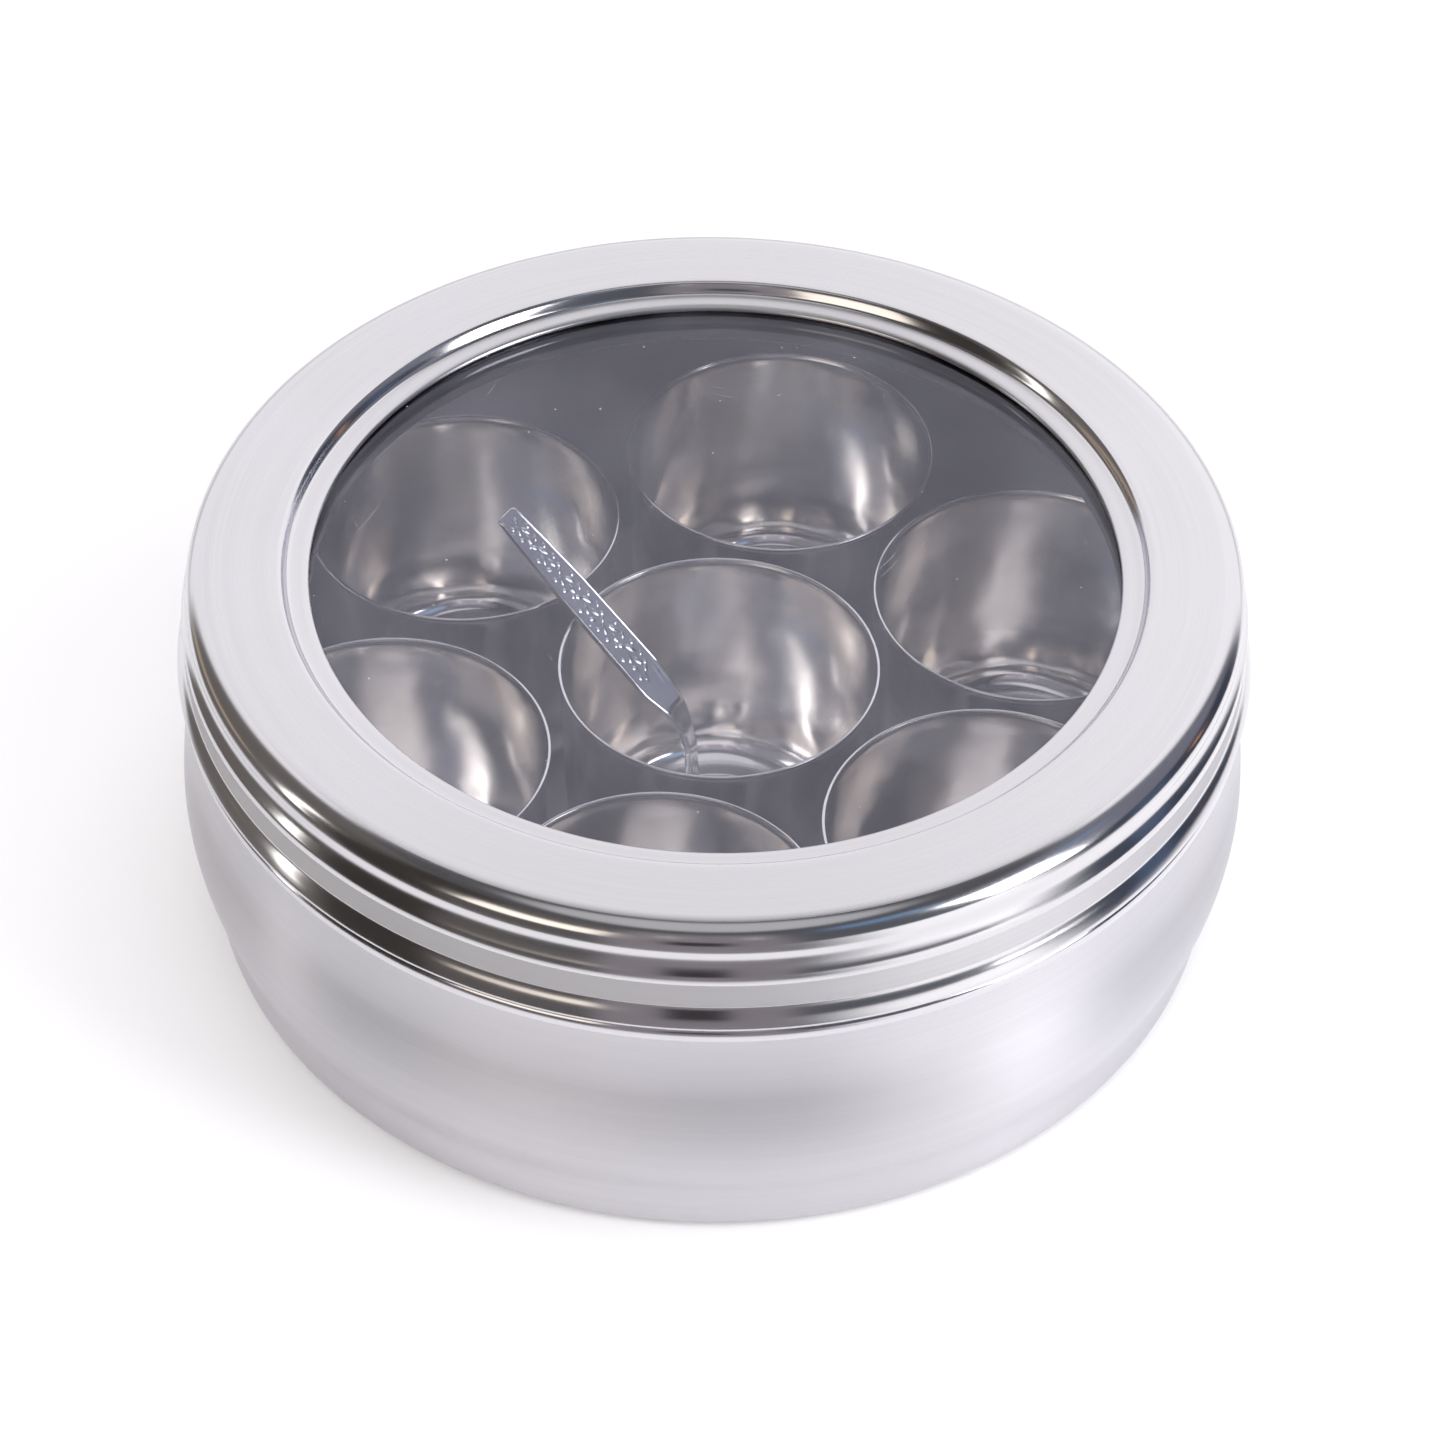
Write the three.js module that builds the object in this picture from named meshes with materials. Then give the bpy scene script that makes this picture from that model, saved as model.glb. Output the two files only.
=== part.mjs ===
// Spice box (masala dabba): a spun steel container, a lift-off lid with a clear window held by
// a channel ring, seven loose steel bowls and a small ladle spoon that leans in the centre bowl.
// Millimetres, +Z up, origin at the centre of the base. The front of the box is on -Y.
import * as THREE from "three";

// ---- driving dimensions -------------------------------------------------------------------
const SHEET = 0.6; // steel sheet of the container, lid and channel ring
const BOWL_SHEET = 0.5; // steel sheet of the bowls
const LID_TOP = 75.15; // height of the flat top ring of the lid
const BELLY_R = 96.7; // widest radius of the container
const NECK_R = 92.4; // outside radius of the neck the lid slips over
const NECK_TOP = 67.0; // top of the neck
const WINDOW_EDGE_R = 71.8; // clear opening in the lid
const DISC_R = 76.0; // clear disc
const DISC_THICK = 2.0;
const DISC_TOP = 71.8;
const BOWL_R = 29.3; // rim radius of a bowl
const BOWL_RIM_Z = 47.5; // height of the bowl rims above the table
const BOWL_BASE_Z = 0.9; // a bowl stands just above the container floor
const RING_R = 62.2; // circle of the six outer bowls
const RING_ANGLES = [20.5, 79.3, 139.8, 201.8, 262.0, 321.3]; // degrees, 0 = +X
const CENTRE_BOWL = [0.9, 0.4];
const SPOON_HEADING = -30.5; // plan direction in which the spoon dips, degrees
const SEG_BOX = 64; // facets round the container and the lid
const SEG_BOWL = 30;

// ---- helpers ------------------------------------------------------------------------------
// Offset a polyline to its left side by d, mitred at the corners.
function offset(line, d) {
  const n = line.length;
  const normal = (a, b) => {
    const dx = b[0] - a[0], dy = b[1] - a[1], l = Math.hypot(dx, dy);
    return [-dy / l, dx / l];
  };
  return line.map((p, i) => {
    const a = normal(line[Math.max(i - 1, 0)], line[Math.max(i, 1)]);
    const b = normal(line[Math.min(i, n - 2)], line[Math.min(i + 1, n - 1)]);
    const m = [a[0] + b[0], a[1] + b[1]], l = Math.hypot(m[0], m[1]);
    const k = d / (l * 0.5 * l);
    const reach = Math.min(k, (1.5 * d) / l);
    return [Math.max(p[0] + m[0] * reach, 0), p[1] + m[1] * reach];
  });
}

// A sheet of one thickness: the outside line, an optional rolled edge, and back along the inside.
function sheet(line, thickness, edge = []) {
  const inside = offset(line, thickness);
  if (line[0][0] === 0) inside[0][0] = 0;
  if (edge.length) inside.pop();
  return [...line, ...edge, ...inside.reverse()];
}

// Spin a closed profile of [radius, height] points about the vertical axis.
function spin(profile, segments) {
  const closed = profile[0][0] > 0;
  const points = (closed ? [...profile, profile[0]] : profile).map(
    ([r, z]) => new THREE.Vector2(r, z),
  );
  return new THREE.LatheGeometry(points, segments).rotateX(Math.PI / 2);
}

function piece(name, geometry, material) {
  const mesh = new THREE.Mesh(geometry, new THREE.MeshStandardMaterial(material));
  mesh.name = name;
  return mesh;
}

const STEEL = { color: 0xd9d8dc, metalness: 1.0, roughness: 0.28 };
const BRIGHT = { color: 0xc9cad2, metalness: 1.0, roughness: 0.12 };
const CLEAR = {
  color: 0x9aa0b0, metalness: 0.0, roughness: 0.05, transparent: true, opacity: 0.25,
};

// ---- container ----------------------------------------------------------------------------
// Flat base, straight foot, small step, full belly, bead under the lid, then the neck.
const containerLine = [
  [0, 0], [88.6, 0], [91.0, 1.0], [92.4, 3.3], [92.8, 8.4], [93.1, 11.2], [94.1, 14.0],
  [95.4, 18.0], [96.3, 22.5], [BELLY_R, 27.5], [96.4, 33.0], [95.8, 38.0], [95.4, 43.0],
  [95.2, 47.8], [95.4, 51.4], [95.6, 52.9], [95.5, 54.1], [94.7, 54.7], [93.0, 54.75],
  [92.5, 55.6], [NECK_R, 57.5], [NECK_R, NECK_TOP - 0.5],
];
const neckEdge = [[NECK_R - 0.15, NECK_TOP], [NECK_R - SHEET + 0.1, NECK_TOP]];
const container = piece("container", spin(sheet(containerLine, SHEET, neckEdge), SEG_BOX), STEEL);

// ---- lid ----------------------------------------------------------------------------------
// From the window edge out: narrow band, step up, flat ring, round shoulder, shallow groove,
// bead, flat skirt, and the hem bead at the bottom.
const lidLine = [
  [95.2, 55.25], [95.8, 55.7], [95.9, 56.6], [95.6, 57.9], [94.8, 58.8], [94.5, 59.5],
  [94.6, 65.3], [94.4, 66.8], [93.6, 68.1], [93.4, 69.5], [93.5, 71.2], [93.3, 72.3],
  [92.6, 73.6], [91.5, 74.3], [89.0, LID_TOP - 0.1], [87.4, LID_TOP], [76.9, LID_TOP],
  [76.2, 74.7], [75.3, 73.2], [WINDOW_EDGE_R, 72.8],
];
const lidRing = piece("lid_ring", spin(sheet(lidLine, SHEET), SEG_BOX), STEEL);

// ---- clear disc and the channel ring under it ------------------------------------------------
const disc = piece("window_disc", spin([
  [0, DISC_TOP - DISC_THICK], [DISC_R, DISC_TOP - DISC_THICK], [DISC_R, DISC_TOP], [0, DISC_TOP],
], SEG_BOX), CLEAR);

const channelLine = [
  [77.5, 73.9], [77.5, 69.6], [76.8, 68.9], [73.6, 68.9], [72.7, 68.2], [72.7, 65.4],
];
const channel = piece("window_channel",
  spin(sheet(channelLine, -SHEET).reverse(), SEG_BOX), BRIGHT);

// ---- bowls --------------------------------------------------------------------------------
// Deep bowl: pressed base with a standing ring, round corner, slightly flared wall, plain rim.
const b = BOWL_BASE_Z;
const bowlLine = [
  [0, b + 0.6], [17.4, b + 0.6], [18.6, b], [20.6, b], [24.2, b + 1.5], [26.6, b + 5.2],
  [27.7, b + 11], [BOWL_R - 0.25, BOWL_RIM_Z - 1.2],
];
const bowlEdge = [[BOWL_R, BOWL_RIM_Z - 0.8], [BOWL_R, BOWL_RIM_Z - 0.2],
  [BOWL_R - 0.5, BOWL_RIM_Z]];
function bowl(name, x, y) {
  const mesh = piece(name, spin(sheet(bowlLine, BOWL_SHEET, bowlEdge), SEG_BOWL), BRIGHT);
  mesh.position.set(x, y, 0);
  return mesh;
}
const bowls = [bowl("bowl_centre", ...CENTRE_BOWL)];
RING_ANGLES.forEach((deg, i) => {
  const a = THREE.MathUtils.degToRad(deg);
  bowls.push(bowl("bowl_" + (i + 1), RING_R * Math.cos(a), RING_R * Math.sin(a)));
});

// ---- spoon --------------------------------------------------------------------------------
// Stations along the spoon: plan distance from where it crosses the bowl rim, height above the
// rim plane, half width, thickness and how far the middle dips below the edges.
const spoonStations = [
  [-16.1, 15.4, 2.3, 0.9, 0], [-15.7, 15.1, 2.65, 1.0, 0], [-2.0, 3.9, 3.8, 1.0, 0],
  [16.5, -11.3, 4.1, 1.0, 0], [20.6, -14.9, 2.9, 1.2, 0], [22.9, -18.3, 2.1, 1.4, 0],
  [24.0, -23.0, 1.9, 1.4, 0], [24.5, -30.0, 1.8, 1.4, 0], [25.2, -35.5, 2.1, 1.3, 0.1],
  [26.4, -38.6, 3.3, 1.1, 0.5], [28.6, -40.0, 5.5, 0.9, 1.7], [31.8, -40.6, 7.7, 0.8, 3.1],
  [36.5, -40.8, 8.8, 0.8, 3.7], [41.5, -40.8, 7.7, 0.8, 3.0], [45.2, -40.7, 4.9, 0.8, 1.5],
  [46.9, -40.6, 2.2, 0.7, 0.4],
];
function spoonGeometry() {
  const heading = THREE.MathUtils.degToRad(SPOON_HEADING);
  const along = new THREE.Vector3(Math.cos(heading), Math.sin(heading), 0);
  const across = new THREE.Vector3(-Math.sin(heading), Math.cos(heading), 0);
  const start = new THREE.Vector3(-25.7 + CENTRE_BOWL[0], 14.45 + CENTRE_BOWL[1], BOWL_RIM_Z);
  const steps = 8, n = spoonStations.length, rows = [];
  spoonStations.forEach(([s, z, half, thick, dip], i) => {
    const p = spoonStations[Math.max(i - 1, 0)], q = spoonStations[Math.min(i + 1, n - 1)];
    const t = new THREE.Vector2(q[0] - p[0], q[1] - p[1]).normalize();
    const up = along.clone().multiplyScalar(-t.y).add(new THREE.Vector3(0, 0, t.x));
    const mid = start.clone().addScaledVector(along, s).add(new THREE.Vector3(0, 0, z));
    const row = [];
    for (const side of [1, -1])
      for (let k = 0; k < steps; k++) {
        const v = side * (1 - (2 * k) / (steps - 1)) * (1 - 1e-9);
        const edge = Math.abs(v) > 0.99 ? 0.35 : 1;
        row.push(mid.clone().addScaledVector(across, v * half)
          .addScaledVector(up, -dip * (1 - v * v) + (side * edge * thick) / 2));
      }
    rows.push(row);
  });
  const m = 2 * steps, position = [], index = [];
  rows.flat().forEach((p) => position.push(p.x, p.y, p.z));
  for (let i = 0; i + 1 < n; i++)
    for (let k = 0; k < m; k++) {
      const a = i * m + k, c = i * m + ((k + 1) % m), d = a + m, e = c + m;
      index.push(a, c, d, c, e, d);
    }
  for (const [base, flip] of [[0, false], [(n - 1) * m, true]])
    for (let k = 1; k + 1 < m; k++)
      index.push(base, base + (flip ? k : k + 1), base + (flip ? k + 1 : k));
  const g = new THREE.BufferGeometry();
  g.setAttribute("position", new THREE.Float32BufferAttribute(position, 3));
  g.setIndex(index);
  g.computeVertexNormals();
  return g;
}
const spoon = piece("spoon", spoonGeometry(), BRIGHT);

// ---- the object ---------------------------------------------------------------------------
const group = new THREE.Group();
group.name = "masala_dabba";
group.add(container, lidRing, disc, channel, ...bowls, spoon);

export default group;
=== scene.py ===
import math

import bpy
import numpy as np
from mathutils import Matrix, Vector


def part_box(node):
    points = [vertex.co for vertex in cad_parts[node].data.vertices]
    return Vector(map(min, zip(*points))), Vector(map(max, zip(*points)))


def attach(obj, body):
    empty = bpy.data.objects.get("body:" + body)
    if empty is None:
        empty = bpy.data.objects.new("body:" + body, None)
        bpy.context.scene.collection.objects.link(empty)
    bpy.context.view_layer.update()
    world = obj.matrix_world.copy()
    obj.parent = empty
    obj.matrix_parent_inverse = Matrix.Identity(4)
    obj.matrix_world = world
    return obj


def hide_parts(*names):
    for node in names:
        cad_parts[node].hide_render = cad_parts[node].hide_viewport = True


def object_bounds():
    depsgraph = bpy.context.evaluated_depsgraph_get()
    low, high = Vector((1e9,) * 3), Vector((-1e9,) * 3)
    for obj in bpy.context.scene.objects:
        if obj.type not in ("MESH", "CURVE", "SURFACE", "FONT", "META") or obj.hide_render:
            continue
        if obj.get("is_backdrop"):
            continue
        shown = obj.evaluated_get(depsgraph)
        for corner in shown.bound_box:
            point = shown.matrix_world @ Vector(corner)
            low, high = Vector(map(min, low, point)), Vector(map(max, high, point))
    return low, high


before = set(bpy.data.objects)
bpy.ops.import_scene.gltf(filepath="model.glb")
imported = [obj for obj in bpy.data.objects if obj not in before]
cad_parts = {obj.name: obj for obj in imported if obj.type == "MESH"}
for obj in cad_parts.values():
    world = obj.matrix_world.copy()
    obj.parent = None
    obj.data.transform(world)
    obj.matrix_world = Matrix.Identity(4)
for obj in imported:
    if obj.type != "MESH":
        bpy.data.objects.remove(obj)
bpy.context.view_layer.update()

MM = 0.001
DEGREES = 180.0 / math.pi
SHEET, BOWL_SHEET = 0.6, 0.5  # thickness of the sheet steel, millimetres
SEG_BOX, SEG_WINDOW, SEG_BOWL = 288, 192, 144  # facets round each kind of piece
BOWLS = ["bowl_centre"] + ["bowl_%d" % i for i in range(1, 7)]


# ------------------------------------------------------------------------------- node graphs
class Graph:
    """Short names for building a node tree."""

    def __init__(self, tree):
        self.tree = tree
        tree.nodes.clear()

    def node(self, kind, **props):
        n = self.tree.nodes.new(kind)
        for k, v in props.items():
            setattr(n, k, v)
        return n

    def put(self, socket, value):
        if isinstance(value, bpy.types.NodeSocket):
            self.tree.links.new(value, socket)
        else:
            socket.default_value = value

    def math(self, op, a, b=0.0, c=0.0, clamp=False):
        n = self.node("ShaderNodeMath", operation=op, use_clamp=clamp)
        for s, v in zip(n.inputs, (a, b, c)):
            self.put(s, v)
        return n.outputs[0]

    def step(self, value, low, high, to_low=0.0, to_high=1.0):
        n = self.node("ShaderNodeMapRange", interpolation_type="SMOOTHSTEP")
        for s, v in zip(n.inputs, (value, low, high, to_low, to_high)):
            self.put(s, v)
        return n.outputs[0]

    def band(self, value, low, high, soft):
        """1 between low and high, 0 outside."""
        return self.math("MULTIPLY", self.step(value, low - soft, low + soft),
                         self.step(value, high - soft, high + soft, 1.0, 0.0))

    def length(self, x, y):
        return self.math("SQRT", self.math("ADD", self.math("MULTIPLY", x, x),
                                           self.math("MULTIPLY", y, y)))

    def azimuth(self, x, y):
        """Degrees round from the front, positive to the right."""
        turn = self.math("ARCTAN2", x, self.math("MULTIPLY", y, -1.0))
        return self.math("MULTIPLY", turn, DEGREES)

    def xyz(self, vector):
        n = self.node("ShaderNodeSeparateXYZ")
        self.put(n.inputs[0], vector)
        return n.outputs

    def vec(self, x, y, z):
        n = self.node("ShaderNodeCombineXYZ")
        for s, v in zip(n.inputs, (x, y, z)):
            self.put(s, v)
        return n.outputs[0]

    def noise(self, vector, scale=1.0, detail=2.0, rough=0.5, w=None):
        n = self.node("ShaderNodeTexNoise", noise_dimensions="3D" if w is None else "4D")
        self.put(n.inputs["Vector"], vector)
        if w is not None:
            self.put(n.inputs["W"], w)
        self.put(n.inputs["Scale"], scale)
        self.put(n.inputs["Detail"], detail)
        self.put(n.inputs["Roughness"], rough)
        return n.outputs["Fac"]

    def mix(self, fac, a, b):
        n = self.node("ShaderNodeMix", data_type="RGBA")
        self.put(n.inputs[0], fac)
        self.put(n.inputs[6], a)
        self.put(n.inputs[7], b)
        return n.outputs[2]

    def blend(self, fac, a, b):
        """Number a where fac is 0, b where it is 1."""
        n = self.node("ShaderNodeMix", data_type="FLOAT")
        self.put(n.inputs[0], fac)
        self.put(n.inputs[2], a)
        self.put(n.inputs[3], b)
        return n.outputs[0]

    def mix_shader(self, fac, a, b):
        """Shader node a where fac is 0, b where it is 1."""
        n = self.node("ShaderNodeMixShader")
        for s, v in zip(n.inputs, (fac, a.outputs[0], b.outputs[0])):
            self.put(s, v)
        return n


def material(name):
    m = bpy.data.materials.new(name)
    m.use_nodes = True
    return m, Graph(m.node_tree)


def spun_coordinates(g):
    """For a piece spun about its own Z: the point, its height and radius in metres, and the two
    parts of the unit vector that turns with the azimuth."""
    at = g.node("ShaderNodeTexCoord").outputs["Object"]
    x, y, z = g.xyz(at)
    r = g.length(x, y)
    safe = g.math("MAXIMUM", r, 1e-4)
    return at, z, r, g.math("DIVIDE", x, safe), g.math("DIVIDE", y, safe)


TONE_RANGE = 0.12  # how far the steel's tone can go from its colour
POLISHED_TONE, POLISHED_LINES = 0.25, 0.15  # what is left of tone and lathe lines between zones
SMEARS = 0.02  # roughness of the smears on polished steel
# Painted light: the colour low down is lifted towards a brighter tint and fades out up the walls,
# standing in for how light falls in the bowls.
PAINTED_LIGHT_HEIGHTS = (8.0, 34.0)  # between these heights, in millimetres, the painted light on the lower part fades out
PAINTED_LIGHT_TINT = (0.99, 0.96, 0.92, 1)


def steel(name, colour, gloss, zones=(), aniso=0.85, grain=1.0, dents=(14.0, 0.1),
          painted_light_low=0.0):
    """Spun sheet steel of roughness gloss. zones are satin bands (kind, low, high, roughness,
    softness of the ends) along kind, the height "z" or the radius "r", in millimetres. aniso is
    how far the lathe lines draw out a reflection, and grain how strong they are. dents are the
    scale of the soft waves in the sheet and their depth in millimetres. The last argument, 0 to 1,
    paints light on the lower part: it brightens the colour there and leaves the upper part darker."""
    m, g = material(name)
    at, z, r, cx, cy = spun_coordinates(g)
    zmm, rmm = g.math("MULTIPLY", z, 1000.0), g.math("MULTIPLY", r, 1000.0)

    def lathe(round_it, per_mm, detail, rough):
        """Noise that is fine across the profile and long round it."""
        at_turn = g.vec(g.math("MULTIPLY", cx, round_it), g.math("MULTIPLY", cy, round_it),
                        g.math("MULTIPLY", rmm, per_mm))
        return g.noise(at_turn, 1.0, detail, rough, w=g.math("MULTIPLY", zmm, per_mm))

    fine, broad = lathe(1.6, 3.2, 3.0, 0.6), lathe(0.8, 0.5, 2.0, 0.5)
    cloud = g.noise(at, 26.0, 3.0, 0.55)

    mask, satin = (0.0, 0.0) if zones else (1.0, gloss)
    for kind, low, high, rough, soft in zones:
        one = g.band(zmm if kind == "z" else rmm, low, high, soft)
        mask = g.math("MAXIMUM", mask, one)
        satin = g.blend(one, satin, rough)

    def swing(noise, amount):
        """The noise about zero, amount from its lowest to its highest."""
        return g.math("MULTIPLY", g.math("SUBTRACT", noise, 0.5), amount)

    tone = g.math("ADD", swing(fine, 0.10 * grain), swing(cloud, 0.06))
    tone = g.math("ADD", tone, swing(broad, 0.05 * grain))
    if zones:
        tone = g.math("MULTIPLY", tone, g.blend(mask, POLISHED_TONE, 1.0))
    shade = g.math("ADD", 1.0, tone)
    low = tuple(c * (1 - TONE_RANGE) for c in colour) + (1.0,)
    high = tuple(min(c * (1 + TONE_RANGE), 1.0) for c in colour) + (1.0,)
    base = g.mix(g.step(shade, 1 - TONE_RANGE, 1 + TONE_RANGE), low, high)
    # painted light: the lower part is brightened, fading out between the two heights, so the upper
    # walls stay darker
    if painted_light_low:
        painted_lift = g.step(zmm, *PAINTED_LIGHT_HEIGHTS, painted_light_low, 0.0)
        base = g.mix(painted_lift, base, PAINTED_LIGHT_TINT)

    rough = g.math("ADD", satin, swing(fine, 0.10))
    rough = g.math("ADD", rough, swing(cloud, 0.08))
    if zones:
        spots = g.noise(at, 160.0, 4.0, 0.6)
        smears = g.math("MULTIPLY", g.step(spots, 0.5, 0.75), SMEARS)
        rough = g.blend(mask, g.math("ADD", gloss, smears), rough)

    # the lathe lines lie on top of the soft waves
    bump = g.node("ShaderNodeBump")
    height = g.math("MULTIPLY", fine, g.blend(mask, POLISHED_LINES, 1.0) if zones else 1.0)
    g.put(bump.inputs["Height"], height)
    bump.inputs["Strength"].default_value = 0.10 * grain
    bump.inputs["Distance"].default_value = 0.04 * MM
    wave = g.node("ShaderNodeBump")
    g.put(wave.inputs["Height"], g.noise(at, dents[0], 2.0, 0.4))
    wave.inputs["Strength"].default_value = 1.0
    wave.inputs["Distance"].default_value = dents[1] * MM
    g.put(bump.inputs["Normal"], wave.outputs[0])

    tangent = g.node("ShaderNodeTangent", direction_type="RADIAL", axis="Z")
    p = g.node("ShaderNodeBsdfPrincipled")
    g.put(p.inputs["Base Color"], base)
    p.inputs["Metallic"].default_value = 1.0
    g.put(p.inputs["Roughness"], rough)
    p.inputs["Anisotropic"].default_value = aniso
    p.inputs["Anisotropic Rotation"].default_value = 0.25
    g.put(p.inputs["Tangent"], tangent.outputs[0])
    g.put(p.inputs["Normal"], bump.outputs[0])
    out = g.node("ShaderNodeOutputMaterial")
    g.put(out.inputs["Surface"], p.outputs[0])
    return m


FACE_ON = 0.05  # what acrylic mirrors face on


def clear_disc():
    """Clear acrylic: passes light, mirrors more at a slant, with dust specks and hairlines."""
    m, g = material("clear_acrylic")
    at = g.node("ShaderNodeTexCoord").outputs["Object"]
    facing = g.node("ShaderNodeLayerWeight")
    facing.inputs["Blend"].default_value = 0.5
    f = facing.outputs["Facing"]
    f5 = g.math("POWER", f, 5.0)
    fresnel = g.math("ADD", FACE_ON, g.math("MULTIPLY", f5, 1 - FACE_ON))

    specks = 0.0
    for scale, channel, power, size, weight in ((230.0, 0, 9.0, 0.055, 1.0),
                                                (520.0, 1, 14.0, 0.10, 0.7)):
        dust = g.node("ShaderNodeTexVoronoi", feature="F1")
        g.put(dust.inputs["Vector"], at)
        dust.inputs["Scale"].default_value = scale
        grains = g.xyz(dust.outputs["Color"])
        radius = g.math("MULTIPLY", g.math("POWER", grains[channel], power), size)
        one = g.math("LESS_THAN", dust.outputs["Distance"], radius)
        specks = g.math("MAXIMUM", specks, g.math("MULTIPLY", one, weight))

    hair = 0.0
    for turn, scale, limit in ((0.5, 46.0, 0.004), (1.9, 38.0, 0.003), (2.7, 60.0, 0.004)):
        turned = g.node("ShaderNodeVectorRotate", rotation_type="Z_AXIS")
        g.put(turned.inputs["Vector"], at)
        turned.inputs["Angle"].default_value = turn
        x = g.xyz(turned.outputs[0])[0]
        bend = g.noise(at, 30.0, 1.0, 0.5)
        line = g.math("ADD", g.math("MULTIPLY", x, scale), g.math("MULTIPLY", bend, 0.6))
        gap = g.math("ABSOLUTE", g.math("SUBTRACT", g.math("FRACT", line), 0.5))
        seen = g.step(g.noise(turned.outputs[0], 90.0, 1.0, 0.5), 0.66, 0.72)
        one = g.math("MULTIPLY", g.math("LESS_THAN", gap, limit), seen)
        hair = g.math("MAXIMUM", hair, one)
    film = g.math("MULTIPLY", g.step(g.noise(at, 30.0, 4.0, 0.6), 0.35, 0.8), 0.03)
    marks = g.math("ADD", g.math("MULTIPLY", specks, 0.6), g.math("MULTIPLY", hair, 0.18))
    marks = g.math("ADD", marks, film, clamp=True)

    through = g.node("ShaderNodeBsdfTransparent")
    through.inputs["Color"].default_value = (0.955, 0.958, 0.98, 1)
    gloss = g.node("ShaderNodeBsdfGlossy")
    gloss.inputs["Roughness"].default_value = 0.03
    gloss.inputs["Color"].default_value = (0.86, 0.86, 1.0, 1)
    dirt = g.node("ShaderNodeBsdfDiffuse")
    dirt.inputs["Color"].default_value = (0.72, 0.72, 0.80, 1)
    dusty = g.mix_shader(marks, g.mix_shader(fresnel, through, gloss), dirt)
    out = g.node("ShaderNodeOutputMaterial")
    g.put(out.inputs["Surface"], dusty.outputs[0])
    return m


# -------------------------------------------------------------------------------- mesh tools
def curve(points, gap=0.35):
    """A smooth line through the points, a centripetal Catmull-Rom, in steps of about gap."""
    p = [np.array(q, float) for q in points]
    p = [2 * p[0] - p[1]] + p + [2 * p[-1] - p[-2]]
    line = []
    for a, b, c, d in zip(p, p[1:], p[2:], p[3:]):
        u, v, w = (math.sqrt(np.linalg.norm(e)) for e in (b - a, c - b, d - c))
        at_b = (b - a) / u - (c - a) / (u + v) + (c - b) / v
        at_c = (c - b) / v - (d - b) / (v + w) + (d - c) / w
        steps = max(2, math.ceil(np.linalg.norm(c - b) / gap))
        for t in np.arange(steps) / steps:
            line.append(tuple((2 * t ** 3 - 3 * t * t + 1) * b + (t ** 3 - 2 * t * t + t) * v * at_b
                              + (3 * t * t - 2 * t ** 3) * c + (t ** 3 - t * t) * v * at_c))
    return line + [tuple(p[-2])]


def sheet(line, thickness):
    """A closed profile: the outside line, a round edge at each open end, the inside line back.
    The inside is to the left of the line."""
    out = np.array(line, float)
    along = np.gradient(out, axis=0)
    along /= np.linalg.norm(along, axis=1)[:, None]
    left = np.c_[-along[:, 1], along[:, 0]]
    inn = out + left * thickness
    t = thickness / 2

    def edge(i, sign):
        """A half circle across the sheet at its end i."""
        mid = (out[i] + inn[i]) / 2
        side = -left[i] * sign
        return [tuple(mid + t * (math.cos(a) * side + math.sin(a) * along[i] * sign))
                for a in np.linspace(0, math.pi, 7)[1:-1]]

    loop = [tuple(p) for p in out] + edge(-1, 1) + [tuple(p) for p in inn[::-1]]
    if line[0][0] == 0:
        loop[-1] = (0.0, loop[-1][1])
    else:
        loop += edge(0, -1)
    return [(max(a, 0.0), b) for a, b in loop]


def mesh_object(name, verts, faces, mat):
    """A smooth-shaded object, from points in metres."""
    me = bpy.data.meshes.new(name)
    me.from_pydata([tuple(v) for v in verts], [], faces)
    me.validate()
    me.polygons.foreach_set("use_smooth", [True] * len(me.polygons))
    me.update()
    ob = bpy.data.objects.new(name, me)
    bpy.context.scene.collection.objects.link(ob)
    ob.data.materials.append(mat)
    return ob


def spin(name, loop, segments, mat):
    """Spins a closed profile in millimetres about Z. A profile that starts on the axis also ends
    on it, with a fan round each of the two points. Any other profile closes on itself."""
    on_axis = loop[0][0] < 1e-9
    rings = loop[1:-1] if on_axis else loop
    a = np.linspace(0, 2 * math.pi, segments, endpoint=False)
    verts = [(r * math.cos(t) * MM, r * math.sin(t) * MM, z * MM) for r, z in rings for t in a]
    n, faces = len(rings), []
    for i in range(n - 1 if on_axis else n):
        j = (i + 1) % n
        for k in range(segments):
            m = (k + 1) % segments
            faces.append((i * segments + k, i * segments + m, j * segments + m, j * segments + k))
    if on_axis:
        for ring, point, flip in ((0, loop[0], True), (n - 1, loop[-1], False)):
            verts.append((0.0, 0.0, point[1] * MM))
            centre = len(verts) - 1
            for k in range(segments):
                f = (ring * segments + k, ring * segments + (k + 1) % segments, centre)
                faces.append(f[::-1] if flip else f)
    return mesh_object(name, verts, faces, mat)


# -------------------------------------------------------------------------------- materials
# Satin: the belly and the neck, the lid's skirt, inner band and top ring, and the bowls' walls.
# The beads and steps between them stay polished.
steel_body = steel("steel_container", (0.668, 0.655, 0.69), 0.17, (
    ("z", -1.0, 52.4, 0.32, 0.12), ("z", 20.0, 40.0, 0.40, 7.0), ("z", 55.4, 70.0, 0.34, 0.12)))
steel_lid = steel("steel_lid", (0.655, 0.645, 0.665), 0.16, (
    ("z", 59.6, 64.9, 0.5, 0.12), ("r", 0.0, 75.2, 0.3, 0.12), ("r", 77.0, 90.0, 0.26, 0.12)),
    aniso=0.5)
# Painted shade: the window channel's steel is near black, standing in for the shade in the recess
# under the lid's edge.
channel_painted_shade_steel = steel("steel_channel_painted_shade", (0.09, 0.088, 0.09), 0.08, aniso=0.3, grain=0.3)
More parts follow.
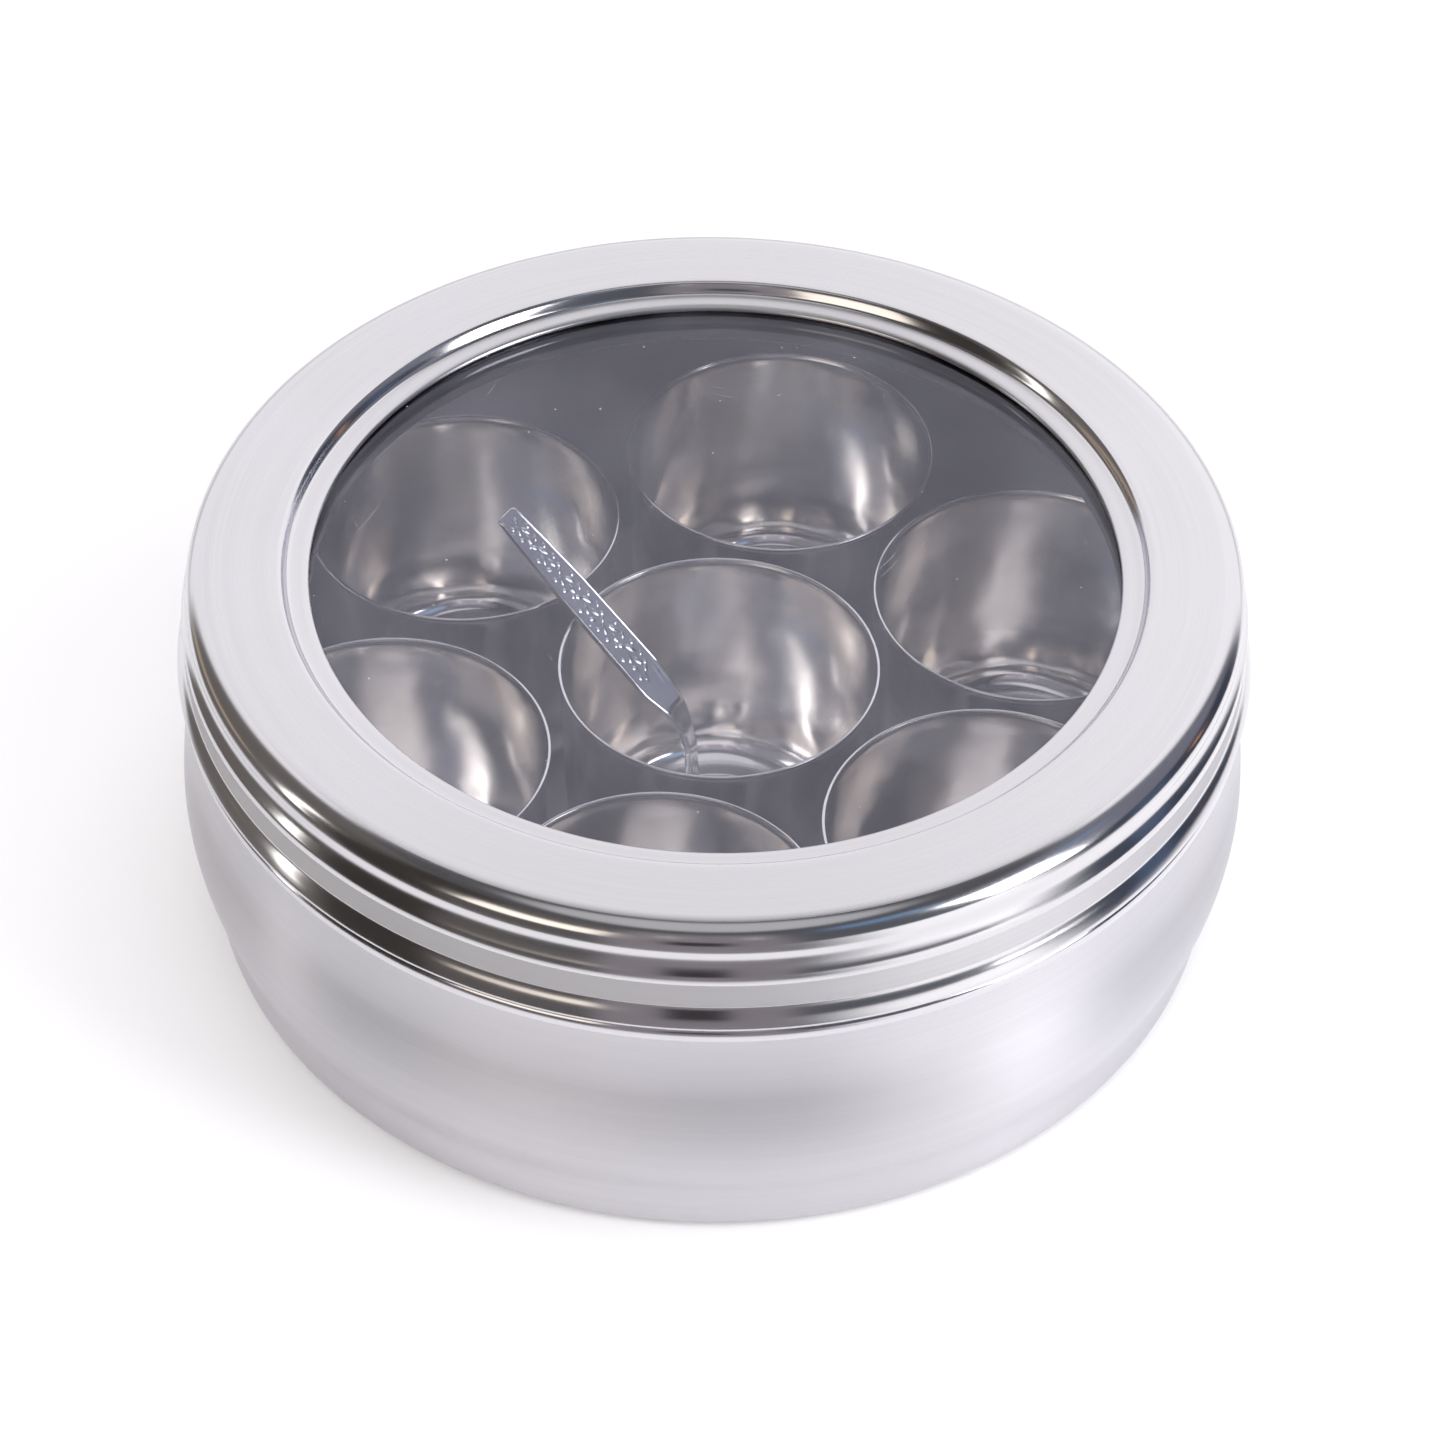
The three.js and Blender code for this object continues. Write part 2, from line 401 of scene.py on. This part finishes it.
# The bowls carry painted light: brighter low down, darker up the walls.
steel_bowl = steel("steel_bowl", (0.755, 0.728, 0.695), 0.12, (("z", 12.0, 49.0, 0.21, 2.0),),
                   aniso=0.3, grain=0.15, dents=(42.0, 1.5), painted_light_low=1.0)
steel_spoon = steel("steel_spoon", (0.80, 0.80, 0.815), 0.10, aniso=0.0, grain=0.3,
                    dents=(60.0, 0.15))
acrylic = clear_disc()

# -------------------------------------------------------------------------------- container
container_line = [(0, 0)] + curve([
    (87.2, 0), (88.2, 0.02), (89.4, 0.2), (90.9, 0.9), (92.0, 2.1), (92.55, 3.8), (92.8, 7.5),
    (93.0, 10.6), (93.5, 12.5), (94.6, 15.6), (96.0, 20.8), (96.68, 27.3), (96.3, 34.0),
    (95.55, 40.5), (95.22, 47.3), (95.4, 51.4), (95.6, 53.5), (95.35, 54.4), (94.7, 54.72),
    (93.4, 54.76), (92.6, 55.2), (92.42, 56.2), (92.4, 57.0)], 0.6) + [(92.4, 66.7)]
container = spin("container_body", sheet(container_line, SHEET), SEG_BOX, steel_body)
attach(container, "container")
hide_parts("container")

# -------------------------------------------------------------------------------- lid
hem = curve([(95.0, 55.25), (95.6, 55.27), (95.95, 55.5), (95.97, 55.9), (95.7, 56.8),
             (95.3, 57.8), (94.8, 58.7), (94.52, 59.4), (94.5, 60.0)])
shoulder = curve([(94.6, 64.6), (94.62, 65.2), (94.5, 66.4), (94.05, 67.4), (93.6, 68.6),
                  (93.42, 69.9), (93.5, 71.4), (93.05, 73.1), (91.8, 74.3), (90.3, 74.95),
                  (89.0, 75.13), (88.0, 75.15)])
window_step = curve([(78.2, 75.15), (77.6, 75.14), (76.8, 75.0), (76.1, 74.2), (75.6, 73.4),
                     (74.7, 73.08), (72.7, 72.9), (71.95, 72.65), (71.8, 72.3)])
lid_line = hem + shoulder + window_step
lid = spin("lid_shell", sheet(lid_line, SHEET), SEG_BOX, steel_lid)
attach(lid, "lid")
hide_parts("lid_ring")

disc_line = [(0, 69.8)] + curve([(75.2, 69.8), (75.7, 69.88), (75.95, 70.2), (76, 70.6),
                                (76, 71.0), (75.95, 71.4), (75.7, 71.72), (75.2, 71.8)], 0.1)
disc_line.append((0, 71.8))
disc = spin("window_disc_clear", disc_line, SEG_WINDOW, acrylic)
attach(disc, "lid")
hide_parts("window_disc")

channel_line = curve([(72.7, 65.4), (72.7, 66.5), (72.75, 67.8), (72.9, 68.5), (73.4, 68.85),
                      (74.2, 68.95), (76.0, 68.95), (76.7, 69.05), (77.3, 69.5), (77.5, 70.2),
                      (77.5, 71.5), (77.5, 73.9)])
channel = spin("window_channel_ring", sheet(channel_line, SHEET), SEG_WINDOW, channel_painted_shade_steel)
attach(channel, "lid")
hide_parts("window_channel")

# -------------------------------------------------------------------------------- bowls
bowl_foot = curve([(16.0, 1.5), (16.6, 1.5), (17.4, 1.4), (18.1, 1.05), (18.9, 0.9), (20.4, 0.9),
                   (22.0, 1.2), (23.8, 2.05), (25.4, 3.6), (26.5, 5.9), (27.2, 8.6),
                   (27.65, 12.0), (28.0, 18.0)])
bowl_rim = curve([(28.72, 42.0), (28.8, 45.4), (28.95, 46.4), (29.25, 46.95), (29.22, 47.35),
                  (28.95, 47.48), (28.7, 47.4)], 0.12)
bowl_loop = sheet([(0, 1.5)] + bowl_foot + bowl_rim, BOWL_SHEET)
bowl_mesh = None
for name in BOWLS:
    lo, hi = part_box(name)
    if bowl_mesh is None:
        bowl = spin(name + "_cup", bowl_loop, SEG_BOWL, steel_bowl)
        bowl_mesh = bowl.data
    else:
        bowl = bpy.data.objects.new(name + "_cup", bowl_mesh)
        bpy.context.scene.collection.objects.link(bowl)
    bowl.location = ((lo.x + hi.x) / 2, (lo.y + hi.y) / 2, 0)
    bpy.context.view_layer.update()
    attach(bowl, name)
    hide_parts(name)

# -------------------------------------------------------------------------------- spoon
HEADING = math.radians(-30.5)  # plan direction in which the spoon dips
RIM_CROSSING = (-25.7, 14.45, 47.5)  # where it crosses the bowl's rim, from the bowl's middle
lo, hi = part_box("bowl_centre")
SPOON_START = np.array(((lo.x + hi.x) / 2 / MM, (lo.y + hi.y) / 2 / MM, 0)) + RIM_CROSSING
HANDLE_END = 3  # the station where the embossed handle stops
# Distance along the plan from the rim crossing, height over the rim, half width, thickness, and
# how far the middle dips below the edges, in millimetres.
STATIONS = np.array([
    (-16.1, 15.4, 2.3, 0.9, 0), (-15.7, 15.1, 2.65, 1.0, 0), (-2.0, 3.9, 3.8, 1.0, 0),
    (16.5, -11.3, 4.1, 1.0, 0), (20.6, -14.9, 2.9, 1.2, 0), (22.9, -18.3, 2.1, 1.4, 0),
    (24.0, -23.0, 1.9, 1.4, 0), (24.5, -30.0, 1.8, 1.4, 0), (25.2, -35.5, 2.1, 1.3, 0.1),
    (26.4, -38.6, 3.3, 1.1, 0.5), (28.6, -40.0, 5.5, 0.9, 1.7), (31.8, -40.6, 7.7, 0.8, 3.1),
    (36.5, -40.8, 8.8, 0.8, 3.7), (41.5, -40.8, 7.7, 0.8, 3.0), (45.2, -40.7, 4.9, 0.8, 1.5),
    (46.9, -40.6, 2.2, 0.7, 0.4)])


def leaf(u, v, cu, cv, angle, length, width):
    """Height of one raised leaf at the points u, v: 0 outside it, with a sunk middle vein."""
    c, s = math.cos(angle), math.sin(angle)
    a = ((u - cu) * c + (v - cv) * s) / length
    b = (-(u - cu) * s + (v - cv) * c) / width
    d = a * a + (b / np.maximum(0.25, 1 - 0.55 * np.abs(a))) ** 2
    body = np.clip(1 - d, 0, 1) ** 0.9
    return body * (1 - 0.5 * np.exp(-(b / 0.2) ** 2))


FIRST_SPRAY, SPRAY_PITCH = 3.8, 6.0  # from the tip to the first spray, and between sprays
SPREAD = 0.66  # how much of the handle's half width the sprays take up
RIM_INSET, RIM_WIDE = 0.34, 0.26  # the raised line along each edge, and its half width
# The leaves of a spray: place along and across, turn, half length, half width, height.
LEAVES = (
    (0.0, 0.32, 0.35, 1.35, 0.42, 1.0), (1.1, -0.34, -0.40, 1.25, 0.40, 1.0),
    (2.6, 0.10, 0.15, 1.2, 0.38, 1.0), (-1.5, -0.16, 0.60, 0.85, 0.36, 0.9),
    (-0.7, 0.75, -0.3, 0.6, 0.30, 0.9), (3.2, -0.55, 0.5, 0.75, 0.32, 1.0),
    (1.9, 0.72, -0.6, 0.65, 0.30, 0.9), (3.7, 0.50, 0.2, 0.6, 0.30, 0.8),
    (0.6, -0.85, 0.3, 0.7, 0.28, 0.8))


def handle_relief(u, v, half, length):
    """Embossed sprays on the handle: u along from the tip, v across from the middle, in
    millimetres."""
    h = np.zeros_like(v)
    for i in range(int(length / SPRAY_PITCH)):
        cu = FIRST_SPRAY + i * SPRAY_PITCH
        side = 1 if i % 2 else -1  # every second spray is turned over
        for du, across, turn, long, wide, high in LEAVES:
            h = np.maximum(h, high * leaf(u, v, cu + du, side * across * SPREAD * half,
                                          turn * side, long, wide))
    rim = np.abs(np.abs(v) - (half - RIM_INSET))
    h = np.maximum(h, 0.8 * np.clip(1 - (rim / RIM_WIDE) ** 2, 0, 1))
    return h * np.clip((u - 0.7) / 0.5, 0, 1) * np.clip((length - 1.0 - u) / 3.0, 0, 1)


def soften(a, n):
    """A weighted moving average over 2n + 1 values that keeps the ends."""
    pad = np.r_[2 * a[0] - a[n:0:-1], a, 2 * a[-1] - a[-2:-n - 2:-1]]
    k = np.hanning(2 * n + 1)
    return np.convolve(pad, k / k.sum(), "valid")


ALONG, ACROSS = 0.13, 57  # millimetres between the rows of points, and points across each row
RELIEF = 0.25  # height of the embossing
# How far in the long edges are rounded, and what is left at the edge, as parts of the thickness.
EDGE_ROUND, EDGE_LEFT = 0.8, 0.03
TIP_LENGTH, TIP_CORNER = 0.7, 0.55  # the round corners at the handle's tip, along and across


def build_spoon():
    along = np.array((math.cos(HEADING), math.sin(HEADING), 0))
    across = np.array((-math.sin(HEADING), math.cos(HEADING), 0))
    arc = np.r_[0, np.cumsum(np.hypot(*np.diff(STATIONS[:, :2], axis=0).T))]
    handle = arc[HANDLE_END]
    dense = np.arange(0, arc[-1], ALONG)
    s, z, half, thick, dip = (np.interp(dense, arc, STATIONS[:, k]) for k in range(5))
    s, z, half = soften(s, 16), soften(z, 16), soften(half, 9)
    thick, dip = soften(thick, 10), soften(dip, 12)
    # the handle's tip has small round corners, and the ladle's far end closes in a curve
    ends = np.minimum(dense / TIP_LENGTH, 1)
    corner = TIP_CORNER * (1 - np.sqrt(1 - (1 - ends) ** 2))
    half[:12] = (np.interp(dense, arc, STATIONS[:, 2]) - corner)[:12]
    half[-3:] = 1.9, 1.4, 0.7
    tang = np.gradient(np.c_[s, z], axis=0)
    tang /= np.linalg.norm(tang, axis=1)[:, None]
    v = 1 - 2 * np.arange(ACROSS) / (ACROSS - 1)
    verts, n, m = [], len(dense), 2 * ACROSS
    for i in range(n):
        up = -tang[i, 1] * along + np.array((0, 0, tang[i, 0]))
        mid = SPOON_START + s[i] * along + np.array((0, 0, z[i]))
        e = np.minimum(1, (1 - np.abs(v)) * half[i] / (EDGE_ROUND * thick[i]))
        edge = np.sqrt(np.maximum(0, 1 - (1 - e) ** 2)) * (1 - EDGE_LEFT) + EDGE_LEFT
        for side in (1, -1):
            lift = -dip[i] * (1 - v * v) + side * edge * thick[i] / 2
            if side > 0 and dense[i] < handle:
                lift = lift + RELIEF * handle_relief(dense[i], v * half[i], half[i], handle)
            row = mid + np.outer(v * half[i], across) + np.outer(lift, up)
            verts.extend((row[::side] * MM).tolist())
    faces = []
    for i in range(n - 1):
        for k in range(m):
            a, c = i * m + k, i * m + (k + 1) % m
            faces.append((a, c, c + m, a + m))
    faces.append(tuple(range(m))[::-1])
    faces.append(tuple(range((n - 1) * m, n * m)))
    return mesh_object("ladle_spoon", verts, faces, steel_spoon)


spoon = build_spoon()
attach(spoon, "spoon")
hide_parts("spoon")


# -------------------------------------------------------------------------------- the floor
# Where the floor ends for the steel: it fades out between two distances from the centre, in
# metres, over a range of azimuths with soft ends, in degrees.
FLOOR_ENDS = ((0.160, 0.195, -125, 22, 12), (0.205, 0.245, 60, 130, 10))


def floor_material():
    """Pale board. The steel sees it end a little way in front of the box and to the sides, as a
    sheet of paper on a table does. The camera sees a plain floor."""
    m, g = material("pale_floor")
    at = g.node("ShaderNodeTexCoord").outputs["Object"]
    tone = g.noise(at, 3.0, 2.0, 0.5)
    p = g.node("ShaderNodeBsdfPrincipled")
    g.put(p.inputs["Base Color"], g.mix(tone, (0.80, 0.795, 0.81, 1), (0.82, 0.815, 0.825, 1)))
    p.inputs["Roughness"].default_value = 0.75
    # a faint glow, for the camera only, keeps the board white round the object
    glow = g.node("ShaderNodeEmission")
    glow.inputs["Color"].default_value = (1.0, 0.985, 1.0, 1)
    seen = g.node("ShaderNodeLightPath").outputs["Is Camera Ray"]
    g.put(glow.inputs["Strength"], g.math("MULTIPLY", seen, 0.06))
    board = g.node("ShaderNodeAddShader")
    g.put(board.inputs[0], p.outputs[0])
    g.put(board.inputs[1], glow.outputs[0])

    x, y = g.xyz(at)[:2]
    reach, turn = g.length(x, y), g.azimuth(x, y)
    past = 0.0
    for start, end, az0, az1, soft in FLOOR_ENDS:
        one = g.math("MULTIPLY", g.step(reach, start, end), g.band(turn, az0, az1, soft))
        past = g.math("MAXIMUM", past, one)
    past = g.math("MULTIPLY", past, g.math("SUBTRACT", 1.0, seen))
    ended = g.mix_shader(past, board, g.node("ShaderNodeBsdfTransparent"))
    out = g.node("ShaderNodeOutputMaterial")
    g.put(out.inputs["Surface"], ended.outputs[0])
    return m


FLOOR_HALF, FLOOR_Z = 4.0, -0.2 * MM
floor = mesh_object("floor", [(x * FLOOR_HALF, y * FLOOR_HALF, FLOOR_Z)
                              for x, y in ((-1, -1), (1, -1), (1, 1), (-1, 1))],
                    [(0, 1, 2, 3)], floor_material())
floor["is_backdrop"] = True


# -------------------------------------------------------------------------------- the light
# What the steel sees around it: colour, azimuths, elevations and how soft the ends of each are,
# in degrees. Azimuth 0 is the front, positive to the right. Later panels lie over earlier ones.
PANELS = (
    ((0.30, 0.275, 0.295), -20, 16, -80, 62, 3, 5),
    ((0.04, 0.036, 0.04), -8, 4, -4, 24, 2, 4),
    ((0.05, 0.044, 0.04), -76, -52, -80, 60, 3, 6),
    ((0.17, 0.155, 0.145), -126, -86, -80, 62, 4, 6),
    ((0.50, 0.40, 0.30), -126, -98, -5, 8, 4, 2.5),
    ((0.22, 0.225, 0.275), 74, 122, -80, 62, 3, 6),
    ((0.05, 0.06, 0.09), 74, 122, -80, 16, 2, 5),
    ((0.09, 0.13, 0.22), 86, 96, -20, 12, 2, 4),
    ((0.75, 0.40, 0.20), 104, 107, -6, 8, 1, 3),
    ((0.22, 0.36, 0.58), 30, 58, 50, 60, 4, 2),
    ((0.20, 0.32, 0.52), 88, 97, 42, 52, 2, 3),
    ((1.8, 1.62, 1.42), -48, -20, 8, 40, 1.5, 3),
    ((2.9, 2.8, 2.65), -88, -82.5, -16, 29, 1.0, 3),
    ((1.2, 1.1, 1.05), -9.8, -8.4, 40, 52, 0.3, 2),
    ((1.2, 1.1, 1.05), 9.3, 10.7, 40, 52, 0.3, 2))


def studio_world():
    """A pale sweep behind the box, a dim room in front of it, and soft panels."""
    world = bpy.data.worlds.new("studio")
    world.use_nodes = True
    bpy.context.scene.world = world
    g = Graph(world.node_tree)
    x, y, z = g.xyz(g.node("ShaderNodeTexCoord").outputs["Generated"])
    az = g.azimuth(x, y)
    el = g.math("MULTIPLY", g.math("ARCSINE", z), DEGREES)
    side = g.math("ABSOLUTE", az)
    base = g.mix(g.step(az, -60.0, 60.0), (0.13, 0.118, 0.11, 1), (0.115, 0.125, 0.15, 1))

    for colour, az0, az1, el0, el1, soft, soft_el in PANELS:
        where = g.math("MULTIPLY", g.band(az, az0, az1, soft), g.band(el, el0, el1, soft_el))
        base = g.mix(where, base, colour + (1,))
    # the sweep behind, its dark top edge, and the pale ceiling panel
    sweep = g.math("MULTIPLY", g.step(side, 124, 132), g.step(el, 56, 61, 1.0, 0.0))
    wall = g.mix(g.step(x, -0.3, 0.3), (1.14, 1.12, 1.16, 1), (1.27, 1.26, 1.29, 1))
    base = g.mix(sweep, base, wall)
    edge = g.band(el, 60, 71, 2.0)
    base = g.mix(edge, base, (0.10, 0.10, 0.105, 1))
    top = g.step(el, 71, 76)
    base = g.mix(top, base, (0.62, 0.62, 0.63, 1))

    lit = g.node("ShaderNodeBackground")
    g.put(lit.inputs["Color"], base)
    plain = g.node("ShaderNodeBackground")
    plain.inputs["Color"].default_value = (0.98, 0.98, 0.99, 1)
    seen = g.node("ShaderNodeLightPath").outputs["Is Camera Ray"]
    out = g.node("ShaderNodeOutputWorld")
    g.put(out.inputs["Surface"], g.mix_shader(seen, lit, plain).outputs[0])


AIM = Vector((0, 0, 0.05))


def area(name, azimuth, elevation, distance, width, height, power):
    """A soft box that faces the object, placed by azimuth and elevation as the panels are."""
    a, e = math.radians(azimuth), math.radians(elevation)
    way = Vector((math.sin(a) * math.cos(e), -math.cos(a) * math.cos(e), math.sin(e)))
    data = bpy.data.lights.new(name, "AREA")
    data.shape, data.size, data.size_y = "RECTANGLE", width, height
    data.energy = power
    ob = bpy.data.objects.new(name, data)
    bpy.context.scene.collection.objects.link(ob)
    ob.location = way * distance + AIM
    ob.rotation_mode = "QUATERNION"
    ob.rotation_quaternion = way.to_track_quat("Z", "Y")
    return ob


studio_world()
area("soft_key", 61.5, 25, 1.15, 0.39, 0.86, 5.8)
# These light the floor and the dust on the disc, and are kept out of the reflections.
for name, azimuth, elevation, distance, width, power in (
        ("soft_top", 20, 80, 1.4, 1.6, 12), ("soft_front", -22, 40, 1.2, 0.9, 7.5),
        ("soft_right", 80, 38, 1.2, 0.9, 5.5)):
    fill = area(name, azimuth, elevation, distance, width, width, power)
    fill.visible_glossy = False

# -------------------------------------------------------------------------------- the camera
ELEVATION, ROLL = math.radians(43.86), math.radians(1.12)
LENS, SENSOR = 107.74, 36.0  # millimetres
LOOK_AT = Vector((0, 0, 0.0435))
DISTANCE, SHIFT_RIGHT, SHIFT_UP = 0.7848, 0.00156, -0.00735  # from there, in the camera's axes
back = Vector((0, -math.cos(ELEVATION), math.sin(ELEVATION)))
flat_right, flat_up = Vector((1, 0, 0)), Vector((0, math.sin(ELEVATION), math.cos(ELEVATION)))
right = math.cos(ROLL) * flat_right + math.sin(ROLL) * flat_up
up = -math.sin(ROLL) * flat_right + math.cos(ROLL) * flat_up
cam_data = bpy.data.cameras.new("camera")
cam_data.sensor_width, cam_data.lens = SENSOR, LENS
camera = bpy.data.objects.new("camera", cam_data)
bpy.context.scene.collection.objects.link(camera)
place = SHIFT_RIGHT * right + SHIFT_UP * up + DISTANCE * back + LOOK_AT
camera.matrix_world = Matrix(((right.x, up.x, back.x, place.x), (right.y, up.y, back.y, place.y),
                              (right.z, up.z, back.z, place.z), (0, 0, 0, 1)))
cam_data.clip_start, cam_data.clip_end = 0.01, 50
bpy.context.scene.camera = camera
bpy.context.scene.view_settings.view_transform = "Standard"

lo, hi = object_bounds()
